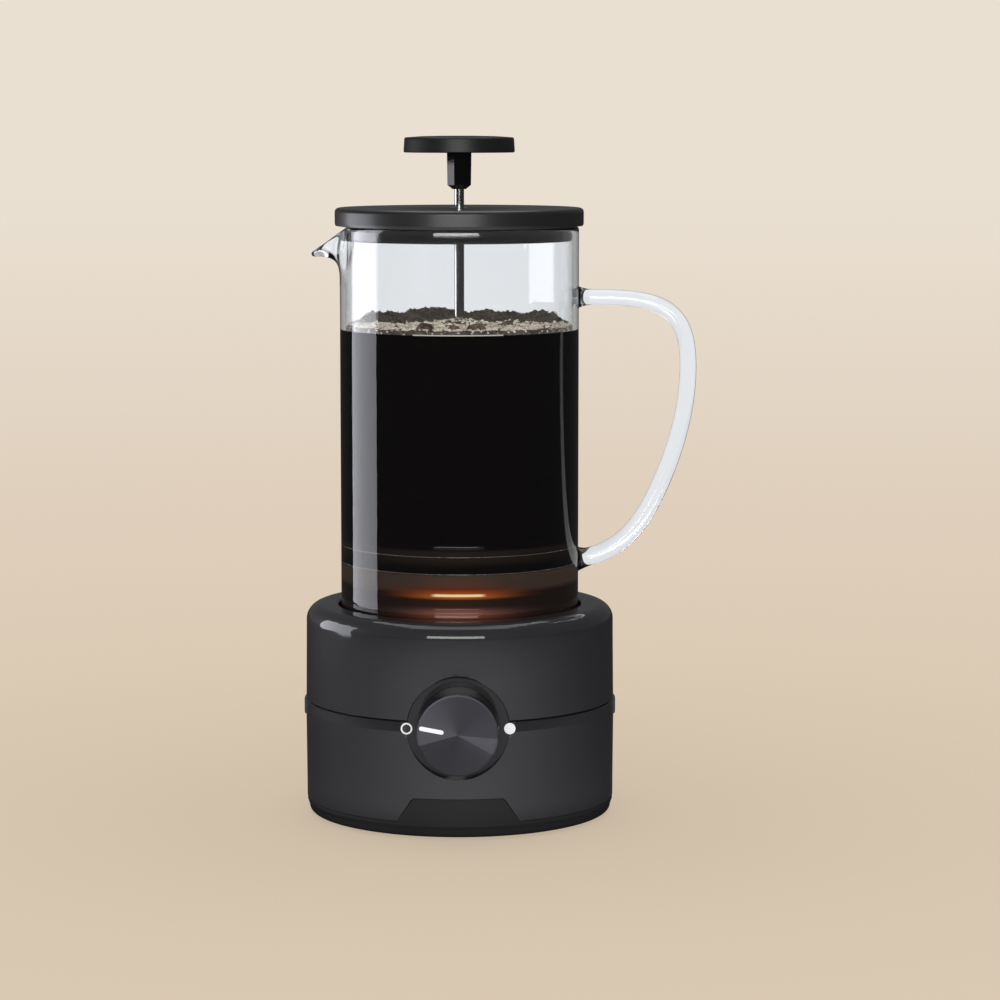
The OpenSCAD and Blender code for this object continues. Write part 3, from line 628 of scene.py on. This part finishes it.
def jug_outlines():
    """The wall's outline round the jug and through its lip, point for point."""
    outside, inside = ([Vector(p) for p in curve] for curve in (LIP_OUTSIDE, LIP_INSIDE))
    lip_low, lip_end = LIP_OUTSIDE[0][1], LIP_INSIDE[-1][1]
    middle, half = (JUG_OUTSIDE + JUG_INSIDE) / 2, (JUG_OUTSIDE - JUG_INSIDE) / 2

    def wall(radius, start, stop):
        return [(radius, start + (stop - start) * k / WALL_STEPS) for k in range(1, WALL_STEPS + 1)]
    shared = UNDER_FLOOR + wall(JUG_OUTSIDE, UNDER_FLOOR[-1][1], lip_low)
    plain, lip = list(shared), list(shared)
    for k in range(1, LIP_STEPS + 1):
        t = k / LIP_STEPS
        plain.append((JUG_OUTSIDE, lip_low + (JUG_RIM - lip_low) * t))
        lip.append(tuple(bezier(*outside, t)))
    for k in range(1, RIM_STEPS):
        a = math.pi * k / RIM_STEPS
        plain.append((middle + half * math.cos(a), JUG_RIM + half * math.sin(a)))
        tip, level = LIP_TIP
        lip.append((tip + LIP_EDGE_R * math.sin(a), level - LIP_EDGE_R * math.cos(a)))
    for k in range(LIP_STEPS + 1):
        t = k / LIP_STEPS
        plain.append((JUG_INSIDE, JUG_RIM - (JUG_RIM - lip_end) * t))
        lip.append(tuple(bezier(*inside, t)))
    shared = wall(JUG_INSIDE, lip_end, INNER_WALL_LOW) + OVER_FLOOR
    return plain + shared, lip + shared


def jug_wall():
    """The jug: a thin turned wall whose rim is drawn out and down into a lip on the left."""
    steps = JUG_ROUND_STEPS
    points, rows = [], []
    for (r0, z0), (r1, z1) in zip(*jug_outlines()):
        if r0 == 0:
            rows.append([len(points)])
            points.append(Vector((0, 0, z0 * MM)))
            continue
        rows.append(list(range(len(points), len(points) + steps)))
        for i in range(steps):
            a = FULL_TURN * i / steps
            off = abs(a - math.pi)
            pull = math.cos(math.pi / 2 * off / LIP_SWING) ** 2 if off < LIP_SWING else 0.0
            r, z = r0 + (r1 - r0) * pull, z0 + (z1 - z0) * pull
            points.append(Vector((r * math.cos(a), r * math.sin(a), z)) * MM)
    return points, skin(rows)


def handle_rod():
    """The bent glass rod: a little thicker towards its lower end, flared at both its roots."""
    path = []
    for n, curve in enumerate(HANDLE):
        knots = [Vector(p) * MM for p in curve]
        first = 0 if n == 0 else 1
        path += [bezier(*knots, k / HANDLE_STEPS) for k in range(first, HANDLE_STEPS + 1)]
    lengths = [0.0]
    for a, b in zip(path, path[1:]):
        lengths.append(lengths[-1] + (b - a).length)
    total = lengths[-1]
    radii = []
    for s in lengths:
        near = min(s, total - s) / (FLARE_LENGTH * MM)
        flare = FLARE * MM * max(0.0, 1 - near) ** 2
        radii.append((HANDLE_R + HANDLE_GROWTH * s / total) * MM + flare)
    return swept_faces(path, radii, HANDLE_SIDES)


def glass_jug():
    """The wall and the handle, joined into one piece of glass."""
    make_up = (FINISH["clear_glass"], "carafe", "clear_glass", GLASS_CREASE)
    wall = solid("glass_jug", *jug_wall(), *make_up)
    rod = solid("handle_rod", *handle_rod(), *make_up)
    join = wall.modifiers.new("join", "BOOLEAN")
    join.operation, join.solver, join.object = "UNION", "EXACT", rod
    bpy.context.view_layer.update()
    joined = wall.evaluated_get(bpy.context.evaluated_depsgraph_get())
    whole = bpy.data.meshes.new_from_object(joined)
    wall.modifiers.clear()
    wall.data = whole
    bpy.data.objects.remove(rod)
    smooth(whole, GLASS_CREASE)
    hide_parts("carafe_glass", "glass_handle")


def mound(x, y, centre_x, centre_y, height, spread):
    return height * math.exp(-((x - centre_x) ** 2 + (y - centre_y) ** 2) / spread)


def crust_height(x, y):
    """Height of the floating layer above the coffee: flat in front, lumpy behind."""
    p = Vector((x, y, 0))
    froth = 0.9 + noise.noise(p * 0.45) * 0.5 + noise.noise(p * 1.7) * 0.3
    lumps = noise.noise(p * 0.10 + Vector((3, 7, 1))) * 1.6
    lumps += noise.noise(p * 0.35 + Vector((9, 2, 4))) * 1.1
    behind = min(1.0, max(0.0, (y - 6) / 22))
    hills = sum(mound(x, y, *hill) for hill in HILLS)
    return max(0.4, froth + mound(x, y, *MOUND_AT_ROD) + behind * (2.6 + lumps + hills))


def bead(level, radius, bulge):
    """A shallow rounded bead on the column at one height."""
    drop = bulge * (1 - math.cos(math.radians(BEAD_LEAN)))
    line = []
    for k in range(-5, 6):
        a = math.radians(BEAD_LEAN * k / 5)
        line.append((radius + bulge * math.cos(a) - bulge + drop, level + bulge * math.sin(a), 0))
    return line


def coffee_column():
    """The brew itself, which fills the glass up to the floating layer."""
    r, top = COFFEE_R, SURFACE - 1.2
    line = [
        (0, 81.0, 0), (40, 80.7, 0), (44.6, 81.0, 2), (46.6, 82.0, 2), (47.6, 84.0, 2),
        (r, 87, 0), (r, 89.5, 0),
    ]
    for level, bulge in BEADS:
        arc = bead(level, r, bulge)
        line += [(r, arc[0][1] - 0.05, 0)] + arc + [(r, arc[-1][1] + 0.05, 0)]
    line += [(r, 150, 0), (r, SURFACE - 0.8, 0), (46.9, top, 0.4), (3, top, 0), (0, top, 0)]
    turned("coffee_column", line, COFFEE, "carafe", crease=50)


def coffee_foam():
    """The floating layer: a ring-shaped slab with a lumpy top, open round the plunger's rod."""
    points = []

    def ring(reach, height):
        for k in range(FOAM_SPOKES):
            a = FULL_TURN * k / FOAM_SPOKES
            x, y = reach * math.cos(a), reach * math.sin(a)
            points.append((x * MM, y * MM, (SURFACE + height(x, y)) * MM))
    for i in range(FOAM_RINGS + 1):
        ring(FOAM_INSIDE + (FOAM_OUTSIDE - FOAM_INSIDE) * (i / FOAM_RINGS) ** 0.85, crust_height)
    ring(FOAM_OUTSIDE, lambda x, y: -FOAM_DEPTH)
    ring(FOAM_INSIDE, lambda x, y: -FOAM_DEPTH)
    rows = ring_rows(FOAM_RINGS + 3, FOAM_SPOKES)
    solid("coffee_foam", points, skin(rows + rows[:1]), CRUST, "carafe", crease=60)


def heap(name, lumps, detail, finish, uneven):
    """Many small lumps in one mesh; each is (centre, half sizes, turn, seed)."""
    ball = bmesh.new()
    bmesh.ops.create_icosphere(ball, subdivisions=detail, radius=1.0)
    shell = [v.co.copy() for v in ball.verts]
    sides = [tuple(v.index for v in face.verts) for face in ball.faces]
    ball.free()
    points, faces = [], []
    for (x, y, z), half, turn, seed in lumps:
        shift = Vector((seed * 1.7, seed * 0.9, seed * 2.3))
        c, s = math.cos(turn), math.sin(turn)
        base = len(points)
        for v in shell:
            grow = 1 + uneven * noise.noise(v * 1.5 + shift)
            px, py, pz = v.x * half[0] * grow, v.y * half[1] * grow, v.z * half[2] * grow
            points.append(Vector((x + px * c - py * s, y + px * s + py * c, z + pz)) * MM)
        faces += [tuple(base + i for i in side) for side in sides]
    solid(name, points, faces, finish, "carafe", crease=80)


def grounds():
    """Rice-like froth all over the front, a band of it against the glass, and dark clods."""
    dice = random.Random(LUMP_SEED)
    froth, crumbs = [], []
    for n in range(LUMP_COUNT):
        a = dice.uniform(0, FULL_TURN)
        reach = 46.2 * math.sqrt(dice.uniform(0.004, 1))
        against = n % 4 == 0
        if against:
            reach = dice.uniform(46.8, 47.3)
        x, y = reach * math.cos(a), reach * math.sin(a)
        long = dice.uniform(0.55, 1.05)
        wide, tall = long * dice.uniform(0.45, 0.7), long * dice.uniform(0.45, 0.75)
        if against:
            wide = min(wide, 47.7 - reach)
        lift = -dice.uniform(0.0, 2.6) if against and y < 22 else tall * 0.35
        place = (x, y, SURFACE + crust_height(x, y) + lift)
        back = y - 9 - 5 * noise.noise(Vector((x * 0.12, y * 0.12, 8)))
        if back < 0 or against and y < 26:
            along = a + math.pi / 2
            turn = along + dice.uniform(-0.6, 0.6) if against else dice.uniform(0, math.pi)
            froth.append((place, (long, wide, tall), turn, n))
        elif dice.random() < 0.5:
            crumbs.append((place, (long * 0.9, wide, tall), dice.uniform(0, math.pi), n))
    heap("pale_froth", froth, 1, FROTH, 0.5)
    heap("loose_grounds", crumbs, 1, CRUST, 0.6)
    clods = []
    for x, y, wide, tall in CLODS:
        place = (x, y, SURFACE + crust_height(x, y) + 0.6)
        clods.append((place, (wide, wide * 0.8, tall), 0.2, int(x * 7)))
    heap("coffee_clods", clods, 4, GRAINS, 0.3)


def wound_spring():
    """The filter's edge: a fine coil spring bent into a ring."""
    count = COILS * COIL_STEPS
    path = []
    for i in range(count):
        a, b = FULL_TURN * i / count, FULL_TURN * i / COIL_STEPS
        r = SPRING_R + COIL_R * math.cos(b)
        height = SPRING_HEIGHT + COIL_R * math.sin(b)
        path.append(Vector((r * math.cos(a), r * math.sin(a), height)) * MM)
    points = []
    for i, here in enumerate(path):
        along = (path[(i + 1) % count] - path[i - 1]).normalized()
        a = FULL_TURN * i / count
        core = Vector((SPRING_R * math.cos(a), SPRING_R * math.sin(a), SPRING_HEIGHT)) * MM
        side = here - core
        side = (side - along * side.dot(along)).normalized()
        up = along.cross(side)
        for k in range(WIRE_SIDES):
            t = FULL_TURN * k / WIRE_SIDES
            points.append(here + (side * math.cos(t) + up * math.sin(t)) * (WIRE_R * MM))
    rows = ring_rows(count, WIRE_SIDES)
    steel = FINISH["polished_steel"]
    coil = solid(
        "rim_spring_coil", points, skin(rows + rows[:1]), steel, "plunger", "polished_steel", 70)
    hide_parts("rim_spring")


def gauze_tray():
    """The filter's gauze: a flat disc with a turned-up edge, beaded at its bend and its hem."""
    def hem(level):
        arc = [math.radians(a) for a in range(-80, 81, 20)]
        return [(47.54 + 0.3 * math.cos(a), level + 0.3 * math.sin(a), 0) for a in arc]
    outline = [(2.3, 107.0, 0), (30, 107.0, 0), (47.2, 106.95, 0)] + hem(107.25)
    outline += [(47.5, 107.8, 0), (47.5, 113.8, 0)] + hem(114.3)
    outline += [(47.1, 114.5, 0), (47.1, 107.6, 0), (30, 107.5, 0), (2.3, 107.5, 0)]
    tray = turned("gauze_tray", outline, GAUZE, "plunger", NODE_SLOT["mesh_screen"])
    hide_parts("mesh_screen")


def skirt_ring():
    """The glossy ring that hangs from the lid into the glass; its wall leans in near its top."""
    lean = []
    for degrees in range(10):
        a = math.radians(degrees)
        lean.append((47.2 - 9.4 * (1 - math.cos(a)), 244.4 + 9.4 * math.sin(a), 0))
    outline = [(45.2, 241.7, 0), (46.8, 241.7, 0.3), (47.2, 242.4, 0.4)] + lean + [
        (47.05, 246.0, 0), (47.05, 246.6, 0.25), (46.7, 246.9, 0.2), (46.7, 248.4, 0.1),
        (49.8, 248.4, 0.1), (49.5, 253.3, 0), (45.2, 253.3, 0),
    ]
    ring = turned("lid_skirt_ring", outline, SKIRT, "lid", NODE_SLOT["lid_skirt"])
    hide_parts("lid_skirt")


def dial_disc():
    """The dial's turned metal face, built flat and stood up to face the front."""
    low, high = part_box("dial_face")
    centre = (low + high) / 2
    radius, depth = (high.x - low.x) / 2, high.y - low.y
    outline = eased([
        (0, 0, 0), (radius, 0, 0), (radius, depth - 0.1 * MM, 0.2 * MM),
        (radius - 0.8 * MM, depth, 0.3 * MM), (0, depth, 0),
    ])
    upright = Matrix.Rotation(math.pi / 2, 4, "X")
    stand = Matrix.Translation((centre.x, high.y, centre.z)) @ upright
    points, faces = turned_faces(outline, 160)
    metal_face = FINISH["dial_metal"]
    disc = solid("spun_dial_face", points, faces, metal_face, "dial", "dial_metal", 30, stand)
    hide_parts("dial_face")


# Studio: sizes and places in metres

FLOOR_NEAR, FLOOR_NEXT = linear(216, 199, 176), linear(218, 201, 178)
FLOOR_MID, FLOOR_FAR = linear(223, 207, 188), linear(234, 224, 210)
FLOOR_R, FLOOR_SIDES = 60, 96
THROUGH_GLASS = linear(243, 245, 249)
WHITE = (1, 1, 1)
BLUISH = (0.92, 0.93, 1.0)
# Each lamp: its name, place and aim, width and height, radiance, colour, and whether matt
# surfaces are lit by it
LAMPS = [
    ("window_left", (-0.36, 0.073, 0.149), (0, 0.073, 0.149), 0.262, 0.226, 3.4, BLUISH, False),
    ("front_strip", (-0.06, -1.28, 0.38), (-0.06, 0, 0.38), 0.98, 0.24, 7.0, WHITE, True),
    ("overhead", (0.0, 0.25, 1.40), (0, 0, 0.1), 1.20, 1.30, 1.5, WHITE, True),
]
EYE, EYE_TILT = (0.0170, -1.384, 0.2916), 6.56
SENSOR, LENS = 36.0, 118.95


def lamp(name, place, aim, width, height, radiance, colour, spreads):
    """A soft panel that lights the object and never shows to the camera itself."""
    light = bpy.data.lights.new(name, "AREA")
    light.shape, light.size, light.size_y = "RECTANGLE", width, height
    light.energy = radiance * math.pi * width * height
    light.color = colour
    f = Finish(name, light)
    glow = f.add("ShaderNodeEmission", {}, {"Strength": 1 - f.seen_straight()})
    f.add("ShaderNodeOutputLight", {}, {"Surface": glow})
    obj = bpy.data.objects.new(name, light)
    obj.location = place
    facing = Vector(aim) - Vector(place)
    obj.rotation_euler = facing.to_track_quat("-Z", "Y").to_euler()
    obj.visible_camera = False
    obj.visible_diffuse = spreads
    bpy.context.scene.collection.objects.link(obj)


def floor_finish():
    """Pale beige that fades with distance and keeps the object's shadow. In gloss it is dim, but
    for a band in front of the object that glows brighter, a painted reflection on the object's
    gloss.
    """
    f = Finish("studio_floor")
    x, y = f.axis("X"), f.axis("Y")
    reach = (x * x + y * y) ** 0.5
    tone = f.ramp([
        (0.0, FLOOR_NEAR), (0.15, FLOOR_NEXT), (0.43, FLOOR_MID), (0.89, FLOOR_FAR),
        (1.0, FLOOR_FAR),
    ], reach / (reach + 1.5))
    glass_ray = f.seen_through()
    shown = f.path("Is Camera Ray") + glass_ray
    through = f.mix(glass_ray, tone, THROUGH_GLASS)
    lit = f.add("ShaderNodeBsdfDiffuse", {}, {
        "Color": f.mix(shown, linear(190, 190, 192), through),
        "Normal": f.bump(f.noise(900, 2, 0.5), 0.00005, 0.1),
    })
    share = shown * (0.70 + 0.30 * reach.above(0.09, 0.45))
    pale = f.add("ShaderNodeMixShader", {}, {0: share, 1: lit, 2: f.emission(through, 1.0)})
    # A band of floor in front glows for glossy rays only: a painted reflection for the object's
    # gloss.
    front = (0.5 - 0.5 * y / (reach + 0.001)) ** 3.2
    sheen = 0.04 + 1.1 * front * reach.above(0.066, 0.13) * (1 - reach.above(0.45, 0.75))
    dim = f.emission(linear(235, 233, 237), sheen)
    gloss_ray = f.path("Is Glossy Ray") * (1 - glass_ray)
    return f.done(f.add("ShaderNodeMixShader", {}, {0: gloss_ray, 1: pale, 2: dim}))


def floor():
    """A wide round floor."""
    corners = []
    for k in range(FLOOR_SIDES):
        a = FULL_TURN * k / FLOOR_SIDES
        corners.append((FLOOR_R * math.cos(a), FLOOR_R * math.sin(a), 0))
    mesh = bpy.data.meshes.new("studio_floor")
    mesh.from_pydata(corners, [], [tuple(range(FLOOR_SIDES))])
    mesh.materials.append(floor_finish())
    ground = bpy.data.objects.new("studio_floor", mesh)
    bpy.context.scene.collection.objects.link(ground)


def room():
    """The light that comes from all round, and the backdrop beyond the floor."""
    world = bpy.data.worlds.new("studio_room")
    bpy.context.scene.world = world
    f = Finish("studio_room", world)
    camera_ray, glass_ray = f.path("Is Camera Ray"), f.seen_through()
    direct = camera_ray + glass_ray
    gloss_ray = f.path("Is Glossy Ray") * (1 - glass_ray)
    glow = f.add("ShaderNodeBackground", {}, {
        "Color": f.mix(camera_ray, linear(236, 238, 242), FLOOR_FAR),
        "Strength": direct + gloss_ray * 0.11 + (1 - direct - gloss_ray) * 0.60,
    })
    f.add("ShaderNodeOutputWorld", {}, {"Surface": glow})


def photograph_camera():
    """A camera at the photograph's place and angle."""
    camera = bpy.data.cameras.new("camera")
    camera.sensor_width, camera.lens = SENSOR, LENS
    camera.clip_start, camera.clip_end = 0.05, 200
    eye = bpy.data.objects.new("camera", camera)
    eye.location = EYE
    eye.rotation_euler = (math.radians(90 - EYE_TILT), 0, 0)
    bpy.context.scene.collection.objects.link(eye)
    bpy.context.scene.camera = eye


dress_nodes()
glass_jug()
coffee_column()
coffee_foam()
grounds()
wound_spring()
dial_disc()
gauze_tray()
skirt_ring()

floor()
room()
for row in LAMPS:
    lamp(*row)
photograph_camera()
bpy.context.scene.view_settings.view_transform = "Standard"
